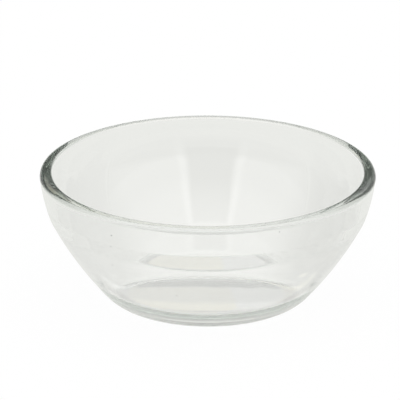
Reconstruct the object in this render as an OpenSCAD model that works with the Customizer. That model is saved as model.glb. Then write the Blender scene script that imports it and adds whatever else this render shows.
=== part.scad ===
// Prep bowl of pressed clear glass: one solid piece with a soft shoulder below the rim.
// The origin is the centre of the circle that it stands on, and Z points up.
// Lengths are in millimetres and angles in degrees.
// The bowl is one section, drawn in the X and Y of the page and turned round the axis.

/* [Overall] */
// Widest diameter, just below the top of the rim
bowl_d = 115; // [105:0.5:130]
// Height from the table to the top of the rim
bowl_h = 45; // [42:0.5:52]

/* [Outside] */
// How far the shoulder lies below the top of the rim
shoulder_drop = 15.3; // [13:0.1:17]
// How far the shoulder is drawn in from the widest circle
shoulder_in = 3; // [2.2:0.1:3.6]
// Radius, in section, of the steep band between the rim and the shoulder
band_curve_r = 66; // [50:1:120]
// Radius, in section, of the long wall below the shoulder
wall_curve_r = 130; // [105:1:180]
// Radius of the soft edge of the shoulder
shoulder_r = 14; // [4:0.5:20]
// Radius of the heel, where the wall turns under
heel_r = 9; // [7:0.5:12]
// How far the circle where the heel meets the table lies outside the flat part of the floor
foot_out = 4; // [2:0.1:6]

/* [Inside] */
// Thickness of the glass at the rim
rim_t = 4.2; // [3.6:0.1:4.8]
// How far the inner shoulder lies below the top of the rim
inner_shoulder_drop = 10.5; // [9:0.1:12]
// Level thickness of the glass at the inner shoulder
inner_shoulder_t = 4; // [3.6:0.1:4.6]
// Radius, in section, of the inner face between the rim and the inner shoulder
inner_band_curve_r = 80; // [50:1:120]
// Radius, in section, of the inner face below the inner shoulder
inner_wall_curve_r = 85; // [75:1:150]
// Radius of the soft edge of the inner shoulder
inner_shoulder_r = 5; // [1:0.5:12]
// Thickness of the glass at its thinnest, where the inner wall turns into the floor
cove_t = 1.8; // [1.5:0.1:3]
// Diameter of the flat part of the floor
floor_d = 52; // [46:0.5:56]
// Thickness of the flat floor
floor_t = 2.8; // [2.4:0.1:4.4]

/* [Rim] */
// Radius of the rim's outer edge
rim_outer_r = 1.7; // [0.8:0.1:2]
// Radius of the rim's inner edge
rim_inner_r = 0.8; // [0.5:0.1:1.4]

/* [Hidden] */
// Sides of a circle where the view is drawn with flat sides
$fn = 180;
// How far a cut runs past the surface that it cuts
overrun = 1;
// Radius of the flat part of the floor
floor_r = floor_d / 2;
// Clear glass with a faint green cast
glass_colour = [0.86, 0.92, 0.87, 0.45];

// A point on the page at an angle and a distance from another
function polar(centre, r, angle) = centre + r * [cos(angle), sin(angle)];

// The angle at which one point is seen from another
function bearing(from, to) = atan2(to[1] - from[1], to[0] - from[0]);

// How far out a circle reaches at a given height
function reach_at(centre, r, z) = centre[0] + sqrt(pow(r, 2) - pow(z - centre[1], 2));

// The point at distance rp from p and rq from q.
// It lies left of the way from p to q, or right of it when side is minus one.
function meeting(p, rp, q, rq, side) =
    let (
        gap = norm(q - p),
        along = (rp * rp - rq * rq + gap * gap) / (2 * gap),
        off = sqrt(rp * rp - along * along),
        way = (q - p) / gap
    )
    p + along * way + side * off * [-way[1], way[0]];

// Centre of a circle that touches two others from inside, near their outer crossing
function edge_centre(r, low_c, low_r, high_c, high_r) =
    meeting(low_c, low_r - r, high_c, high_r - r, 1);

// Centre of the rim's outer edge
rim_outer_c = [bowl_d / 2 - rim_outer_r, bowl_h - rim_outer_r];
// Centre of the heel
heel_c = [floor_r + foot_out, heel_r];
// The shoulder before its edge is softened
shoulder = [bowl_d / 2 - shoulder_in, bowl_h - shoulder_drop];
// The band runs through the shoulder and touches the rim's outer edge
band_c = meeting(shoulder, band_curve_r, rim_outer_c, band_curve_r - rim_outer_r, 1);
// The wall runs through the shoulder and touches the heel
wall_c = meeting(shoulder, wall_curve_r, heel_c, wall_curve_r - heel_r, -1);
shoulder_c = edge_centre(shoulder_r, wall_c, wall_curve_r, band_c, band_curve_r);

// Centre of the rim's inner edge
rim_inner_c = [bowl_d / 2 - rim_t + rim_inner_r, bowl_h - rim_inner_r];
// The cove leads the inner wall down to the flat floor, one thickness inside the outer wall
cove_limit_r = wall_curve_r - cove_t;
cove_start = [floor_r, floor_t] - wall_c;
cove_r = (pow(cove_limit_r, 2) - cove_start * cove_start) / (2 * (cove_limit_r + cove_start[1]));
// Centre of the cove
cove_c = [floor_r, floor_t + cove_r];
// The inner shoulder, before its edge is softened, lies one thickness inside the band
inner_shoulder_z = bowl_h - inner_shoulder_drop;
inner_shoulder = [reach_at(band_c, band_curve_r, inner_shoulder_z) - inner_shoulder_t, inner_shoulder_z];
// The inner band runs through the inner shoulder and touches the rim's inner edge
inner_band_c = meeting(
    inner_shoulder, inner_band_curve_r, rim_inner_c, inner_band_curve_r + rim_inner_r, 1
);
// The inner wall runs through the inner shoulder and touches the cove
inner_wall_c = meeting(
    inner_shoulder, inner_wall_curve_r, cove_c, inner_wall_curve_r - cove_r, -1
);
inner_shoulder_c = edge_centre(
    inner_shoulder_r, inner_wall_c, inner_wall_curve_r, inner_band_c, inner_band_curve_r
);

// What lies outside a circle, between two angles seen from its centre
module corner_waste(centre, r, from, to) {
    reach = (r + overrun) / cos((to - from) / 2);
    difference() {
        polygon([
            centre,
            polar(centre, reach, from),
            polar(centre, reach, (from + to) / 2),
            polar(centre, reach, to)
        ]);
        translate(centre) circle(r = r);
    }
}

// What a face of the wall encloses: its long curve, and above the shoulder its steep band too.
// The shoulder's edge is softened.
module enclosed(low_c, low_r, high_c, high_r, edge_c, edge_r, edge_z) {
    difference() {
        intersection() {
            translate(low_c) circle(r = low_r);
            union() {
                translate(high_c) circle(r = high_r);
                square([bowl_d, edge_z]);
            }
        }
        corner_waste(edge_c, edge_r, bearing(low_c, edge_c), bearing(high_c, edge_c));
    }
}

// The bowl's outer form, filled solid
module outer_section() {
    difference() {
        intersection() {
            square([bowl_d, bowl_h]);
            enclosed(wall_c, wall_curve_r, band_c, band_curve_r, shoulder_c, shoulder_r, shoulder[1]);
        }
        corner_waste(heel_c, heel_r, -90, bearing(wall_c, heel_c));
        corner_waste(rim_outer_c, rim_outer_r, bearing(band_c, rim_outer_c), 90);
    }
}

// The space inside the bowl, open at the top
module cavity_section() {
    difference() {
        intersection() {
            translate([0, floor_t]) square([bowl_d, bowl_h]);
            enclosed(
                inner_wall_c, inner_wall_curve_r, inner_band_c, inner_band_curve_r,
                inner_shoulder_c, inner_shoulder_r, inner_shoulder_z
            );
        }
        corner_waste(cove_c, cove_r, -90, bearing(inner_wall_c, cove_c));
    }
}

module bowl() {
    color(glass_colour)
    rotate_extrude()
    difference() {
        outer_section();
        cavity_section();
        corner_waste(rim_inner_c, rim_inner_r, 90, bearing(rim_inner_c, inner_band_c));
    }
}

bowl();
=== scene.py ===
"""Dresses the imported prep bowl: its turned pressed glass, and the white studio that it is shown in."""
import math

import bmesh
import bpy
from mathutils import Matrix, Vector, noise


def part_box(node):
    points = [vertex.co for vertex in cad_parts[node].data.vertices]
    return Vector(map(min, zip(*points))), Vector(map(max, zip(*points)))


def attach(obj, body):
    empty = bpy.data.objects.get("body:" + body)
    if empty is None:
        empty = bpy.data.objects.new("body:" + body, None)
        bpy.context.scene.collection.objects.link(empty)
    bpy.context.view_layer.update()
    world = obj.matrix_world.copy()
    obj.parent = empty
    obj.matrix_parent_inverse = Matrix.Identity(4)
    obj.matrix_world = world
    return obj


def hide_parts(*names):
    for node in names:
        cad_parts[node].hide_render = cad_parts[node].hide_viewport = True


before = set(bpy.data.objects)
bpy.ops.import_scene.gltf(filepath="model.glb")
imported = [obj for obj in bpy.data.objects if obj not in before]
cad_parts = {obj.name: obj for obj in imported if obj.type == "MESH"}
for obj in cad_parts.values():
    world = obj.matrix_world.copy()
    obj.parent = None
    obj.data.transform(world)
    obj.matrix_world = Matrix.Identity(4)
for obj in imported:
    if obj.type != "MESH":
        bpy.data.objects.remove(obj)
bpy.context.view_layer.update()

bl_info = {
    "name": "Prep bowl",
    "version": (1, 0, 0),
    "blender": (4, 5, 0),
    "location": "3D View > Sidebar > Prep Bowl",
    "description": "Makes a prep bowl of clear pressed glass, and a white studio around it",
    "category": "Object",
}

BOWL_LOW, BOWL_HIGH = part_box("bowl")
MM = 0.001
UP = Vector((0, 0, 1))
# The section is drawn in the plane of X and Z, where a turn from X towards Z is a turn about minus Y
SECTION_AXIS = (0, -1, 0)

# Steps of the section's line along each of its parts
FLAT_STEPS = 12
FLAT_EDGE_STEPS = 2
HEEL_STEPS = 30
WALL_STEPS = 46
SHOULDER_STEPS = 10
BAND_STEPS = 22
RIM_OUTER_STEPS = 16
RIM_TOP_STEPS = 4
RIM_INNER_STEPS = 12
INNER_BAND_STEPS = 20
INNER_SHOULDER_STEPS = 8
INNER_WALL_STEPS = 44
COVE_STEPS = 44
# Width of the ring of small faces at the edge of each flat face, which keeps its shading flat
FLAT_EDGE = 1 * MM
# Points closer than this become one
MERGE = 0.0001 * MM

# How far from the middle of its cell a seed is dark, and from where the glass is clear, in widths of a cell
SEED_DARK = 0.015
SEED_CLEAR = 0.028
# Share of light that a seed's middle lets through
SEED_SHADE = 0.2
# The base is worn up to the first height, and the glass is polished from the second
WORN_TO = 0.05 * MM
POLISHED_FROM = 0.25 * MM
DIMPLE_DETAIL = 1

# The paper lies this far below the plane that the bowl stands on
PAPER_DROP = 0.3 * MM
PAPER_SIDES = 96

# Heights in the room are sines of the elevation, from 0 level with the bowl to 1 overhead.
# The gap between the soft boxes fades in over the first pair of heights and out over the second.
GAP_STARTS = 0.1
GAP_WHOLE = 0.22
GAP_FADES = 0.68
GAP_ENDS = 0.85
# Heights of the near side's five shades, from low to overhead
NEAR_LOW = 0.26
NEAR_STRIP = 0.3
NEAR_ROOM = 0.4
NEAR_LAMPS = 0.6
OVERHEAD = 0.9
# Heights where the far wall's shades start and end
FAR_LOW = 0.12
FAR_DARK = 0.15
FAR_DARK_ENDS = 0.58
FAR_HIGH = 0.7
# How soft the far box's sides are, as a share of half a turn
FAR_BOX_SIDE = 0.03
# The far wall turns pale between these two turns to the right, as shares of half a turn
PALE_STARTS = 0.04
PALE_WHOLE = 0.09
# The near side gives way to the far side between these two values of a direction's Y
NEAR_ENDS = -0.2
FAR_STARTS = 0.4

# Sides of the square picture in pixels, and of the camera's sensor in millimetres
PICTURE = 400
SENSOR = 36
# Nearest and furthest that the camera sees, in metres
NEAREST_SEEN = 0.01
FURTHEST_SEEN = 100


def length(label, description, default):
    """A size in metres that a user may change."""
    return bpy.props.FloatProperty(
        name=label, description=description, default=default, min=0, precision=5,
        subtype="DISTANCE", unit="LENGTH",
    )


def share(label, description, default):
    """A share from nothing to all."""
    return bpy.props.FloatProperty(
        name=label, description=description, default=default, min=0, max=1, subtype="FACTOR",
    )


def number(label, description, default):
    """A plain number, such as a strength or a count per metre."""
    return bpy.props.FloatProperty(name=label, description=description, default=default, min=0)


def angle(label, description, degrees):
    """An angle, given here in degrees."""
    return bpy.props.FloatProperty(
        name=label, description=description, default=math.radians(degrees), subtype="ANGLE", unit="ROTATION",
    )


def colour(label, description, default):
    """A linear colour."""
    return bpy.props.FloatVectorProperty(
        name=label, description=description, default=default, size=3, min=0, max=1, subtype="COLOR",
    )


class PrepBowlShape(bpy.types.PropertyGroup):
    """Sizes of the bowl's section, the same as the solid's, and of its ripple."""

    width: length("Width", "Widest diameter, just below the top of the rim", BOWL_HIGH[0] - BOWL_LOW[0])
    height: length("Height", "From the table to the top of the rim", BOWL_HIGH[2] - BOWL_LOW[2])
    shoulder_drop: length("Shoulder drop", "How far the shoulder lies below the top", 15.3 * MM)
    shoulder_in: length("Shoulder inset", "How far the shoulder is drawn in", 3 * MM)
    band_curve: length("Band curve", "Radius of the steep band above the shoulder", 66 * MM)
    wall_curve: length("Wall curve", "Radius of the long wall below the shoulder", 130 * MM)
    shoulder_edge: length("Shoulder edge", "Radius of the shoulder's soft edge", 14 * MM)
    heel: length("Heel", "Radius where the wall turns under", 9 * MM)
    foot_out: length("Foot outset", "How far outside the flat floor the heel meets the table", 4 * MM)
    rim_thickness: length("Rim thickness", "Thickness of the glass at the rim", 4.2 * MM)
    rim_outer_edge: length("Rim outer edge", "Radius of the rim's outer edge", 1.7 * MM)
    rim_inner_edge: length("Rim inner edge", "Radius of the rim's inner edge", 0.8 * MM)
    inner_shoulder_drop: length(
        "Inner shoulder drop", "How far the inner shoulder lies below the top", 10.5 * MM
    )
    inner_shoulder_thickness: length(
        "Inner shoulder thickness", "Level thickness of the glass there", 4 * MM
    )
    inner_band_curve: length("Inner band curve", "Radius of the inner face above its shoulder", 80 * MM)
    inner_wall_curve: length("Inner wall curve", "Radius of the inner face below its shoulder", 85 * MM)
    inner_shoulder_edge: length(
        "Inner shoulder edge", "Radius of the inner shoulder's soft edge", 5 * MM
    )
    cove_thickness: length(
        "Cove thickness", "Thinnest glass, where the inner wall turns into the floor", 1.8 * MM
    )
    floor_width: length("Floor width", "Diameter of the flat part of the floor", 52 * MM)
    floor_thickness: length("Floor thickness", "Thickness of the flat floor", 2.8 * MM)
    ripple_height: length("Ripple height", "Depth of the faint ripple that the press leaves", 0.012 * MM)
    ripple_length: length("Ripple length", "Length of that ripple", 16 * MM)
    turns: bpy.props.IntProperty(
        name="Turns", description="Steps of the full turn round the axis", default=256, min=24,
    )


class PrepBowlGlass(bpy.types.PropertyGroup):
    """The look of the glass."""

    bend: number("Index of refraction", "How strongly the glass bends light", 1.52)
    tint: colour("Tint", "Colour that white light takes on in thick glass", (0.75, 0.79, 0.752))
    tint_strength: number("Tint strength", "How fast the tint builds up, per metre", 18)
    polish: share("Polish", "Roughness of the polished faces", 0.0)
    scuffed: share("Worn base", "Roughness of the flat base that it stands on", 0.35)
    dimple: length("Dimple depth", "Depth of the finest unevenness", 0.01 * MM)
    dimple_size: number("Dimples", "Fine dimples per metre", 130)
    seed_spacing: number("Seeds", "Tiny bubbles and specks, as cells per metre", 90)


class PrepBowlStudio(bpy.types.PropertyGroup):
    """Floor, light and camera."""

    paper: share("Paper white", "Share of light that the floor gives back", 0.9)
    paper_glow: share("Plain white", "Share of the floor's own white over its shading", 0.97)
    paper_in_glass: colour(
        "Paper in glass", "How that white looks through and off the glass", (0.843, 0.848, 0.818)
    )
    floor_reach: length("Floor reach", "Radius of the floor", 0.8)
    sky_glow: number("Sky", "Brightness overhead, where white paper is 1", 1.85)
    low_share: share(
        "Near low", "Brightness of the near side at the table, as a share of that overhead", 0.38
    )
    strip_share: share("Near strip", "The same at the lower edge of the soft boxes", 0.66)
    room_share: share("Near room", "The same a little higher up", 0.58)
    lamp_share: share("Near lamps", "The same half way up, where the soft boxes are", 0.9)
    gap_glow: share("Gap", "Brightness of the gap between the soft boxes, as a share of them", 0.2)
    gap_width: share("Gap width", "Half the gap, as a share of half a turn", 0.13)
    gap_blur: share("Gap blur", "How soft its edges are, as a share of half a turn", 0.035)
    gap_left: angle("Gap turn", "How far the gap lies to the left", 2.8)
    edge_width: share("Edge width", "How wide the bright inner edge of each box is", 0.016)
    box_share: share("Box share", "Brightness of the rest of each box, as a share of that edge", 0.72)
    far_share: share("Far low", "Brightness of the far wall at the table", 0.27)
    dark_share: share("Far dark", "Brightness of the dark wall over that", 0.03)
    high_share: share("Far high", "Brightness of the wall high up", 0.45)
    pale_share: share("Far pale", "Brightness of the right part of the far wall", 0.2)
    far_box_share: share("Far box", "Brightness of the low box on the far wall", 0.82)
    far_box_dim: share("Far box dim", "Brightness of its lower part, as a share of the upper", 0.6)
    far_box_low: angle("Far box low", "Elevation of its lower edge", 20.9)
    far_box_step: angle("Far box step", "Elevation where its brighter upper part starts", 24.5)
    far_box_high: angle("Far box high", "Elevation of its upper edge", 29.5)
    far_box_blur: share("Far box blur", "How soft these edges are", 0.012)
    far_box_width: share("Far box width", "Half its width, as a share of half a turn", 0.17)
    far_box_left: angle("Far box turn", "How far it lies to the left", 3)
    warm_edge: angle("Warm edge", "How far the warm part of it reaches to the right", 0.5)
    warm: colour("Warm", "Colour of that part", (1, 0.95, 0.76))
    focal: length("Lens", "Focal length of the lens", 0.252)
    distance: length("Distance", "From the lens to the middle of the bowl's mouth", 0.958525)
    elevation: angle("Elevation", "How far the lens looks down on the mouth", 20.121)
    roll: angle("Roll", "How far the picture is turned", 0.161)
    mouth_right: number("Mouth across", "Pixels from the picture's left side to the mouth's middle", 208.16)
    mouth_down: number("Mouth down", "Pixels from the picture's top to the mouth's middle", 168.89)
    light_paths: bpy.props.IntProperty(
        name="Light paths", description="How often a ray may bend or bounce inside the glass",
        default=32, min=4,
    )


def meeting(first, first_reach, second, second_reach, side):
    """Where two circles of the section meet, left (1) or right (-1) of the way from first to second."""
    way = second - first
    gap = way.length
    along = (first_reach ** 2 - second_reach ** 2 + gap ** 2) / (2 * gap)
    off = math.sqrt(first_reach ** 2 - along ** 2)
    way.normalize()
    left = Vector((-way.z, 0, way.x))
    return first + along * way + side * off * left


def bearing(centre, point):
    """The angle at which a point of the section is seen from another."""
    return math.atan2(point.z - centre.z, point.x - centre.x)


def spot(out, up):
    """A point of the section."""
    return Vector((out, 0, up))


def bend_line(bm, tip, centre, start, end, steps):
    """Carry the section's line on round a centre, and return its new end."""
    spun = bmesh.ops.spin(
        bm, geom=[tip], cent=centre, axis=SECTION_AXIS, dvec=(0, 0, 0), angle=end - start,
        steps=steps, use_merge=False, use_normal_flip=False, use_duplicate=False,
    )
    return next(piece for piece in spun["geom_last"] if isinstance(piece, bmesh.types.BMVert))


def run_line(bm, tip, end, steps):
    """Carry the section's line on straight, and return its new end."""
    spun = bmesh.ops.spin(
        bm, geom=[tip], cent=(0, 0, 0), axis=SECTION_AXIS, dvec=(end - tip.co) / steps, angle=0,
        steps=steps, use_merge=False, use_normal_flip=False, use_duplicate=False,
    )
    return next(piece for piece in spun["geom_last"] if isinstance(piece, bmesh.types.BMVert))


def draw_underside(bm, shape):
    """The flat base, from the axis out to the heel."""
    foot = shape.floor_width / 2 + shape.foot_out
    tip = bm.verts.new(spot(0, 0))
    tip = run_line(bm, tip, spot(foot - FLAT_EDGE, 0), FLAT_STEPS)
    return run_line(bm, tip, spot(foot, 0), FLAT_EDGE_STEPS)


def draw_outside(bm, tip, shape):
    """Heel, wall, shoulder, band and the rim's outer edge.

    Returns the line's end and the centres of the wall's and the band's curves.
    """
    rim = shape.rim_outer_edge
    rim_centre = spot(shape.width / 2 - rim, shape.height - rim)
    heel_centre = spot(shape.floor_width / 2 + shape.foot_out, shape.heel)
    shoulder = spot(shape.width / 2 - shape.shoulder_in, shape.height - shape.shoulder_drop)
    band = meeting(shoulder, shape.band_curve, rim_centre, shape.band_curve - rim, 1)
    wall = meeting(shoulder, shape.wall_curve, heel_centre, shape.wall_curve - shape.heel, -1)
    edge = shape.shoulder_edge
    edge_centre = meeting(wall, shape.wall_curve - edge, band, shape.band_curve - edge, 1)
    heel_end = bearing(wall, heel_centre)
    wall_end = bearing(wall, edge_centre)
    band_start = bearing(band, edge_centre)
    band_end = bearing(band, rim_centre)
    tip = bend_line(bm, tip, heel_centre, -math.pi / 2, heel_end, HEEL_STEPS)
    tip = bend_line(bm, tip, wall, heel_end, wall_end, WALL_STEPS)
    tip = bend_line(bm, tip, edge_centre, wall_end, band_start, SHOULDER_STEPS)
    tip = bend_line(bm, tip, band, band_start, band_end, BAND_STEPS)
    tip = bend_line(bm, tip, rim_centre, band_end, math.pi / 2, RIM_OUTER_STEPS)
    return tip, wall, band


def draw_inside(bm, tip, shape, wall, band):
    """The rim's inner edge, inner band, inner shoulder, inner wall, cove and floor, in to the axis."""
    rim = shape.rim_inner_edge
    rim_centre = spot(shape.width / 2 - shape.rim_thickness + rim, shape.height - rim)
    level = shape.height - shape.inner_shoulder_drop
    band_reach = band.x + math.sqrt(shape.band_curve ** 2 - (level - band.z) ** 2)
    shoulder = spot(band_reach - shape.inner_shoulder_thickness, level)
    floor_edge = spot(shape.floor_width / 2, shape.floor_thickness)
    limit = shape.wall_curve - shape.cove_thickness
    start = floor_edge - wall
    cove = (limit ** 2 - start.length_squared) / (2 * (limit + start.z))
    cove_centre = floor_edge + spot(0, cove)
    inner_band = meeting(shoulder, shape.inner_band_curve, rim_centre, shape.inner_band_curve + rim, 1)
    inner_wall = meeting(shoulder, shape.inner_wall_curve, cove_centre, shape.inner_wall_curve - cove, -1)
    edge = shape.inner_shoulder_edge
    edge_centre = meeting(
        inner_wall, shape.inner_wall_curve - edge, inner_band, shape.inner_band_curve - edge, 1
    )
    rim_end = bearing(inner_band, rim_centre)
    band_end = bearing(inner_band, edge_centre)
    wall_start = bearing(inner_wall, edge_centre)
    wall_end = bearing(inner_wall, cove_centre)
    tip = run_line(bm, tip, spot(rim_centre.x, shape.height), RIM_TOP_STEPS)
    tip = bend_line(bm, tip, rim_centre, math.pi / 2, math.pi + rim_end, RIM_INNER_STEPS)
    tip = bend_line(bm, tip, inner_band, rim_end, band_end, INNER_BAND_STEPS)
    tip = bend_line(bm, tip, edge_centre, band_end, wall_start, INNER_SHOULDER_STEPS)
    tip = bend_line(bm, tip, inner_wall, wall_start, wall_end, INNER_WALL_STEPS)
    tip = bend_line(bm, tip, cove_centre, wall_end, -math.pi / 2, COVE_STEPS)
    tip = run_line(bm, tip, floor_edge - spot(FLAT_EDGE, 0), FLAT_EDGE_STEPS)
    return run_line(bm, tip, spot(0, floor_edge.z), FLAT_STEPS)


def ripple(bm, shape):
    """Sink the faces a hair, unevenly, as the press and mould leave them."""
    bm.normal_update()
    for vert in bm.verts:
        here = vert.co / shape.ripple_length
        sunk = (1 + noise.noise(here)) / 2
        vert.co -= vert.normal * shape.ripple_height * sunk


def turned_bowl(shape):
    """The mesh of the bowl: one section, turned round the axis."""
    bm = bmesh.new()
    tip = draw_underside(bm, shape)
    tip, wall, band = draw_outside(bm, tip, shape)
    draw_inside(bm, tip, shape, wall, band)
    bmesh.ops.spin(
        bm, geom=bm.verts[:] + bm.edges[:], cent=(0, 0, 0), axis=UP, dvec=(0, 0, 0), angle=2 * math.pi,
        steps=shape.turns, use_merge=True, use_normal_flip=False, use_duplicate=False,
    )
    bmesh.ops.remove_doubles(bm, verts=bm.verts, dist=MERGE)
    bmesh.ops.recalc_face_normals(bm, faces=bm.faces)
    ripple(bm, shape)
    for face in bm.faces:
        face.smooth = True
    mesh = bpy.data.meshes.new("glass_bowl")
    bm.to_mesh(mesh)
    bm.free()
    return mesh


def add_node(tree, kind, label, **settings):
    """A new node with its settings."""
    node = tree.nodes.new(kind)
    node.label = label
    for name, value in settings.items():
        setattr(node, name, value)
    return node


def pressed_glass(look):
    """Clear glass with a tint in its depth, faint dimples, a few seeds and a worn base."""
    material = bpy.data.materials.new("pressed_glass")
    material.use_nodes = True
    tree = material.node_tree
    link = tree.links.new
    shader = tree.nodes["Principled BSDF"]
    output = tree.nodes["Material Output"]
    shader.inputs["Transmission Weight"].default_value = 1
    shader.inputs["IOR"].default_value = look.bend

    depth = add_node(tree, "ShaderNodeVolumeAbsorption", "Tint in the depth")
    depth.inputs["Color"].default_value = (*look.tint, 1)
    depth.inputs["Density"].default_value = look.tint_strength
    link(depth.outputs["Volume"], output.inputs["Volume"])

    place = add_node(tree, "ShaderNodeTexCoord", "Place on the bowl")

    dimples = add_node(tree, "ShaderNodeTexNoise", "Dimples")
    dimples.inputs["Scale"].default_value = look.dimple_size
    dimples.inputs["Detail"].default_value = DIMPLE_DETAIL
    link(place.outputs["Object"], dimples.inputs["Vector"])
    bump = add_node(tree, "ShaderNodeBump", "Dimple depth")
    bump.inputs["Distance"].default_value = look.dimple
    link(dimples.outputs["Fac"], bump.inputs["Height"])
    link(bump.outputs["Normal"], shader.inputs["Normal"])

    cells = add_node(tree, "ShaderNodeTexVoronoi", "Seeds")
    cells.inputs["Scale"].default_value = look.seed_spacing
    link(place.outputs["Object"], cells.inputs["Vector"])
    speck = add_node(tree, "ShaderNodeMapRange", "Speck of each seed")
    speck.inputs["From Min"].default_value = SEED_DARK
    speck.inputs["From Max"].default_value = SEED_CLEAR
    speck.inputs["To Min"].default_value = SEED_SHADE
    speck.inputs["To Max"].default_value = 1
    link(cells.outputs["Distance"], speck.inputs["Value"])
    link(speck.outputs["Result"], shader.inputs["Base Color"])

    height = add_node(tree, "ShaderNodeSeparateXYZ", "Height on the bowl")
    link(place.outputs["Object"], height.inputs["Vector"])
    base = add_node(tree, "ShaderNodeMapRange", "Worn base")
    base.inputs["From Min"].default_value = WORN_TO
    base.inputs["From Max"].default_value = POLISHED_FROM
    base.inputs["To Min"].default_value = look.scuffed
    base.inputs["To Max"].default_value = look.polish
    link(height.outputs["Z"], base.inputs["Value"])
    link(base.outputs["Result"], shader.inputs["Roughness"])
    return material


class PREPBOWL_OT_glass(bpy.types.Operator):
    """Make the glass bowl, in place of the plain solid"""

    bl_idname = "prepbowl.glass"
    bl_label = "Glass bowl"

    def execute(self, context):
        bowl = bpy.data.objects.new("glass_bowl", turned_bowl(context.scene.prep_bowl_shape))
        context.scene.collection.objects.link(bowl)
        bowl.data.materials.append(pressed_glass(context.scene.prep_bowl_glass))
        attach(bowl, "root")
        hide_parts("bowl")
        return {"FINISHED"}


def seen_or_shown(tree):
    """A value of 1 for rays from the camera, off a mirror or through glass."""
    rays = add_node(tree, "ShaderNodeLightPath", "Kind of ray")
    seen = add_node(tree, "ShaderNodeMath", "Seen or mirrored", operation="MAXIMUM")
    shown = add_node(tree, "ShaderNodeMath", "Or through glass", operation="MAXIMUM")
    tree.links.new(rays.outputs["Is Camera Ray"], seen.inputs[0])
    tree.links.new(rays.outputs["Is Glossy Ray"], seen.inputs[1])
    tree.links.new(seen.outputs["Value"], shown.inputs[0])
    tree.links.new(rays.outputs["Is Transmission Ray"], shown.inputs[1])
    return shown.outputs["Value"]


def white_paper(studio):
    """White paper that stays white to the eye, keeps a shadow, and is clear when seen from below."""
    material = bpy.data.materials.new("white_paper")
    material.use_nodes = True
    tree = material.node_tree
    tree.nodes.clear()
    link = tree.links.new
    output = add_node(tree, "ShaderNodeOutputMaterial", "Surface")
    shaded = add_node(tree, "ShaderNodeBsdfDiffuse", "Shaded paper")
    shaded.inputs["Color"].default_value = (studio.paper, studio.paper, studio.paper, 1)
    plain = add_node(tree, "ShaderNodeEmission", "Plain white")
    rays = add_node(tree, "ShaderNodeLightPath", "Kind of ray")
    level = add_node(tree, "ShaderNodeMix", "White to the eye, a little less in the glass", data_type="RGBA")
    level.inputs["A"].default_value = (*studio.paper_in_glass, 1)
    level.inputs["B"].default_value = (1, 1, 1, 1)
    link(rays.outputs["Is Camera Ray"], level.inputs["Factor"])
    link(level.outputs["Result"], plain.inputs["Color"])
    amount = add_node(tree, "ShaderNodeMath", "Share of plain white", operation="MULTIPLY")
    amount.inputs[1].default_value = studio.paper_glow
    link(seen_or_shown(tree), amount.inputs[0])
    both = add_node(tree, "ShaderNodeMixShader", "Paper")
    link(amount.outputs["Value"], both.inputs["Fac"])
    link(shaded.outputs["BSDF"], both.inputs[1])
    link(plain.outputs["Emission"], both.inputs[2])
    side = add_node(tree, "ShaderNodeNewGeometry", "Side of the paper")
    clear = add_node(tree, "ShaderNodeBsdfTransparent", "Clear from below")
    sided = add_node(tree, "ShaderNodeMixShader", "Paper from above, clear from below")
    link(side.outputs["Backfacing"], sided.inputs["Fac"])
    link(both.outputs["Shader"], sided.inputs[1])
    link(clear.outputs["BSDF"], sided.inputs[2])
    link(sided.outputs["Shader"], output.inputs["Surface"])
    return material


def lay_floor(context, studio):
    """A round sheet of paper under the bowl, a hair below the table's plane."""
    bm = bmesh.new()
    bmesh.ops.create_circle(bm, cap_ends=True, radius=studio.floor_reach, segments=PAPER_SIDES)
    bmesh.ops.translate(bm, verts=bm.verts, vec=(0, 0, -PAPER_DROP))
    mesh = bpy.data.meshes.new("paper_floor")
    bm.to_mesh(mesh)
    bm.free()
    floor = bpy.data.objects.new("paper_floor", mesh)
    context.scene.collection.objects.link(floor)
    floor.data.materials.append(white_paper(studio))


def maths(tree, label, operation, *values):
    """One sum in a node tree: each value is a number or another node's output."""
    node = add_node(tree, "ShaderNodeMath", label, operation=operation)
    for socket, value in zip(node.inputs, values):
        if isinstance(value, (int, float)):
            socket.default_value = value
        else:
            tree.links.new(value, socket)
    return node.outputs["Value"]


def ramp(tree, label, value, *stops):
    """A soft ramp over a value: a place and a share at each stop, from low to high."""
    node = add_node(tree, "ShaderNodeValToRGB", label)
    node.color_ramp.interpolation = "EASE"
    elements = node.color_ramp.elements
    elements.remove(elements[1])
    lowest = elements[0]
    lowest.position, part = stops[0]
    lowest.color = (part, part, part, 1)
    for place, part in stops[1:]:
        elements.new(place).color = (part, part, part, 1)
    tree.links.new(value, node.inputs["Fac"])
    return node.outputs["Color"]


def near_side(tree, studio, aside, height):
    """The front: soft boxes left and right, with a darker gap between them, and brighter overhead."""
    boxes = ramp(
        tree, "Gap, inner edge and box", aside,
        (studio.gap_width - studio.gap_blur, studio.gap_glow), (studio.gap_width, 1),
        (studio.gap_width + studio.edge_width, 1),
        (studio.gap_width + 2 * studio.edge_width, studio.box_share),
    )
    open_sky = ramp(
        tree, "No gap near the table or overhead", height,
        (GAP_STARTS, 1), (GAP_WHOLE, 0), (GAP_FADES, 0), (GAP_ENDS, 1),
    )
    rise = ramp(
        tree, "Brighter with height", height,
        (NEAR_LOW, studio.low_share), (NEAR_STRIP, studio.strip_share), (NEAR_ROOM, studio.room_share),
        (NEAR_LAMPS, studio.lamp_share), (OVERHEAD, 1),
    )
    return maths(tree, "Near side", "MULTIPLY", maths(tree, "Gap", "MAXIMUM", boxes, open_sky), rise)


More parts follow.
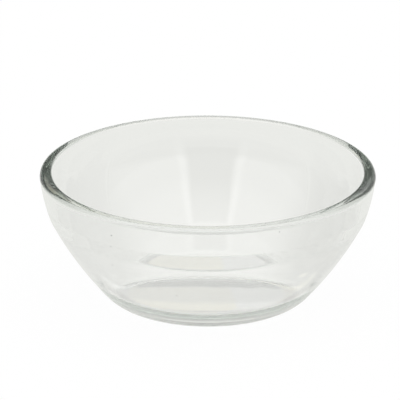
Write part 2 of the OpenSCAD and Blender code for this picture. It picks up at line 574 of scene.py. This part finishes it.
def far_side(tree, studio, aside, height, pale):
    """The back: a dark wall with one low bright box; returns its brightness and where the box is."""
    wall = ramp(
        tree, "Far wall", height,
        (FAR_LOW, studio.far_share), (FAR_DARK, studio.dark_share), (FAR_DARK_ENDS, studio.dark_share),
        (FAR_HIGH, studio.high_share), (OVERHEAD, 1),
    )
    wall = maths(tree, "Far wall, paler to the right", "MAXIMUM", wall, pale)
    low = math.sin(studio.far_box_low)
    high = math.sin(studio.far_box_high)
    step = math.sin(studio.far_box_step)
    blur = studio.far_box_blur
    rows = ramp(
        tree, "Far box by height", height,
        (low - blur, 0), (low, studio.far_box_dim), (step - blur, studio.far_box_dim), (step + blur, 1),
        (high, 1), (high + blur, 0),
    )
    columns = ramp(
        tree, "Far box by width", aside,
        (studio.far_box_width, 1), (studio.far_box_width + FAR_BOX_SIDE, 0),
    )
    box = maths(tree, "Far box", "MULTIPLY", rows, columns)
    lit = maths(tree, "Far box's brightness", "MULTIPLY", box, studio.far_box_share)
    return maths(tree, "Far side", "MAXIMUM", wall, lit), box


def light_sky(context, studio):
    """White to the eye; in the glass, the room with its soft boxes and its darker places."""
    sky = bpy.data.worlds.new("studio")
    context.scene.world = sky
    sky.use_nodes = True
    tree = sky.node_tree
    tree.nodes.clear()
    link = tree.links.new
    output = add_node(tree, "ShaderNodeOutputWorld", "Around")
    white = add_node(tree, "ShaderNodeBackground", "White behind")
    white.inputs["Color"].default_value = (1, 1, 1, 1)
    white.inputs["Strength"].default_value = 1
    room = add_node(tree, "ShaderNodeBackground", "Room")
    place = add_node(tree, "ShaderNodeTexCoord", "Direction")
    parts = add_node(tree, "ShaderNodeSeparateXYZ", "Across, away and up")
    link(place.outputs["Generated"], parts.inputs["Vector"])
    across, away, height = parts.outputs["X"], parts.outputs["Y"], parts.outputs["Z"]

    nearer = maths(tree, "Towards the camera", "MULTIPLY", away, -1)
    near_turn = maths(tree, "Turn from the camera", "ARCTAN2", across, nearer)
    near_turn = maths(tree, "Gap a little to the left", "ADD", near_turn, studio.gap_left)
    near_turn = maths(tree, "Turn either way", "ABSOLUTE", near_turn)
    near = near_side(tree, studio, maths(tree, "Share of half a turn", "DIVIDE", near_turn, math.pi), height)

    far_turn = maths(tree, "Turn from straight away", "ARCTAN2", across, away)
    box_turn = maths(tree, "Box a little to the left", "ADD", far_turn, studio.far_box_left)
    box_turn = maths(tree, "Turn either way", "ABSOLUTE", box_turn)
    right_turn = maths(tree, "Share of half a turn", "DIVIDE", far_turn, math.pi)
    pale = ramp(tree, "Pale right part", right_turn, (PALE_STARTS, 0), (PALE_WHOLE, studio.pale_share))
    aside = maths(tree, "Share of half a turn", "DIVIDE", box_turn, math.pi)
    far, box = far_side(tree, studio, aside, height, pale)

    behind = add_node(tree, "ShaderNodeMapRange", "Near side to far side")
    behind.inputs["From Min"].default_value = NEAR_ENDS
    behind.inputs["From Max"].default_value = FAR_STARTS
    link(away, behind.inputs["Value"])
    level = add_node(tree, "ShaderNodeMix", "Near or far")
    link(behind.outputs["Result"], level.inputs["Factor"])
    link(near, level.inputs["A"])
    link(far, level.inputs["B"])
    link(maths(tree, "Glow", "MULTIPLY", level.outputs["Result"], studio.sky_glow), room.inputs["Strength"])

    left = maths(tree, "Left part of the far box", "LESS_THAN", far_turn, studio.warm_edge)
    warm = add_node(tree, "ShaderNodeMix", "Warm left part", data_type="RGBA")
    warm.inputs["A"].default_value = (1, 1, 1, 1)
    warm.inputs["B"].default_value = (*studio.warm, 1)
    link(maths(tree, "Warm", "MULTIPLY", box, left), warm.inputs["Factor"])
    link(warm.outputs["Result"], room.inputs["Color"])

    rays = add_node(tree, "ShaderNodeLightPath", "Kind of ray")
    both = add_node(tree, "ShaderNodeMixShader", "Behind or around")
    link(rays.outputs["Is Camera Ray"], both.inputs["Fac"])
    link(room.outputs["Background"], both.inputs[1])
    link(white.outputs["Background"], both.inputs[2])
    link(both.outputs["Shader"], output.inputs["Surface"])


def set_camera(context, studio):
    """The photograph's camera: the mouth of the bowl lies where the picture has it."""
    pixels = studio.focal / (SENSOR * MM) * PICTURE
    mouth = Vector((0, 0, BOWL_HIGH[2]))
    place = mouth + studio.distance * Vector((0, -math.cos(studio.elevation), math.sin(studio.elevation)))
    yaw = -math.atan((studio.mouth_right - PICTURE / 2) / pixels)
    pitch = studio.elevation - math.atan((studio.mouth_down - PICTURE / 2) / pixels)
    ahead = Vector((math.sin(yaw) * math.cos(pitch), math.cos(yaw) * math.cos(pitch), -math.sin(pitch)))
    right = ahead.cross(UP).normalized()
    upward = right.cross(ahead)
    turned_right = right * math.cos(studio.roll) + upward * math.sin(studio.roll)
    turned_up = upward * math.cos(studio.roll) - right * math.sin(studio.roll)
    stand = Matrix((turned_right, turned_up, -ahead)).transposed().to_4x4()
    stand.translation = place
    lens = bpy.data.cameras.new("camera")
    lens.sensor_width = SENSOR
    lens.lens = studio.focal / MM
    lens.clip_start = NEAREST_SEEN
    lens.clip_end = FURTHEST_SEEN
    camera = bpy.data.objects.new("camera", lens)
    context.scene.collection.objects.link(camera)
    camera.matrix_world = stand
    context.scene.camera = camera


class PREPBOWL_OT_stage(bpy.types.Operator):
    """Make the white floor, the studio's light and the camera"""

    bl_idname = "prepbowl.stage"
    bl_label = "Studio"

    def execute(self, context):
        studio = context.scene.prep_bowl_studio
        lay_floor(context, studio)
        light_sky(context, studio)
        set_camera(context, studio)
        # Light runs round inside thick glass many times, and turns black where it is cut short
        context.scene.cycles.max_bounces = studio.light_paths
        context.scene.cycles.glossy_bounces = studio.light_paths
        context.scene.cycles.transmission_bounces = studio.light_paths
        context.scene.view_settings.view_transform = "Standard"
        return {"FINISHED"}


class PREPBOWL_PT_panel(bpy.types.Panel):
    """Lists the bowl's pieces and their sizes"""

    bl_idname = "PREPBOWL_PT_panel"
    bl_label = "Prep Bowl"
    bl_space_type = "VIEW_3D"
    bl_region_type = "UI"
    bl_category = "Prep Bowl"

    def draw(self, context):
        layout = self.layout
        groups = (
            (PREPBOWL_OT_glass, context.scene.prep_bowl_shape),
            (None, context.scene.prep_bowl_glass),
            (PREPBOWL_OT_stage, context.scene.prep_bowl_studio),
        )
        for operator, values in groups:
            box = layout.box()
            if operator:
                box.operator(operator.bl_idname)
            for name in values.__annotations__:
                box.prop(values, name)


CLASSES = (
    PrepBowlShape,
    PrepBowlGlass,
    PrepBowlStudio,
    PREPBOWL_OT_glass,
    PREPBOWL_OT_stage,
    PREPBOWL_PT_panel,
)


def register():
    for kind in CLASSES:
        bpy.utils.register_class(kind)
    bpy.types.Scene.prep_bowl_shape = bpy.props.PointerProperty(type=PrepBowlShape)
    bpy.types.Scene.prep_bowl_glass = bpy.props.PointerProperty(type=PrepBowlGlass)
    bpy.types.Scene.prep_bowl_studio = bpy.props.PointerProperty(type=PrepBowlStudio)


def unregister():
    del bpy.types.Scene.prep_bowl_studio
    del bpy.types.Scene.prep_bowl_glass
    del bpy.types.Scene.prep_bowl_shape
    for kind in reversed(CLASSES):
        bpy.utils.unregister_class(kind)


def main():
    register()
    bpy.ops.prepbowl.glass()
    bpy.ops.prepbowl.stage()


if __name__ == "__main__":
    main()
